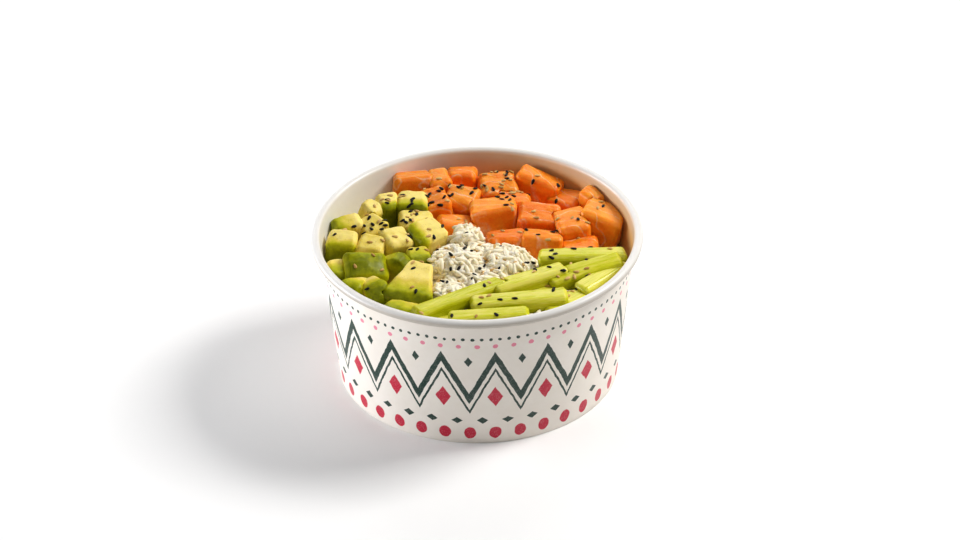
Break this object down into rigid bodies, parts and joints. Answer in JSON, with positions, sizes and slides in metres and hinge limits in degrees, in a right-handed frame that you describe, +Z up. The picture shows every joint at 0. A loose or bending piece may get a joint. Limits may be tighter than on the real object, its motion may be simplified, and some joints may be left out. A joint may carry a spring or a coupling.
{
  "type": "poke bowl",
  "caption": "Poke bowl: paper bowl with a rolled rim, filled with rice and topped with salmon cubes, avocado chunks, cucumber sticks and sesame seeds.",
  "frame": {"origin": "centre of the bowl's foot, on the surface it stands on", "axes": "+Z up along the bowl's axis, +X to the right and +Y away from the side that is seen from the front"},
  "size_m": [0.15, 0.15, 0.072],
  "materials": {
    "paper_bowl": "coated white paper, satin, printed outside",
    "rice": "moist cooked white rice",
    "salmon": "wet raw salmon, glossy, light fat lines",
    "avocado": "cream to green avocado flesh, satin",
    "cucumber": "moist peeled cucumber"
  },
  "bodies": {
    "root": {"bowl_wall": "paper_bowl", "bowl_base": "paper_bowl", "rice": "rice", "cucumber_01": "cucumber", "cucumber_02": "cucumber", "cucumber_03": "cucumber", "cucumber_04": "cucumber", "cucumber_05": "cucumber", "cucumber_06": "cucumber", "cucumber_07": "cucumber", "cucumber_08": "cucumber", "cucumber_09": "cucumber", "cucumber_10": "cucumber", "avocado_01": "avocado", "avocado_02": "avocado", "avocado_03": "avocado", "avocado_04": "avocado", "avocado_05": "avocado", "avocado_06": "avocado", "avocado_07": "avocado", "avocado_08": "avocado", "avocado_09": "avocado", "avocado_10": "avocado", "avocado_11": "avocado", "avocado_12": "avocado", "avocado_13": "avocado", "avocado_14": "avocado", "avocado_15": "avocado", "avocado_16": "avocado", "avocado_17": "avocado", "avocado_18": "avocado", "salmon_01": "salmon", "salmon_02": "salmon", "salmon_03": "salmon", "salmon_04": "salmon", "salmon_05": "salmon", "salmon_06": "salmon", "salmon_07": "salmon", "salmon_08": "salmon", "salmon_09": "salmon", "salmon_10": "salmon", "salmon_11": "salmon", "salmon_12": "salmon", "salmon_13": "salmon", "salmon_14": "salmon", "salmon_15": "salmon", "salmon_16": "salmon", "salmon_17": "salmon", "salmon_18": "salmon"}
  },
  "joints": []
}
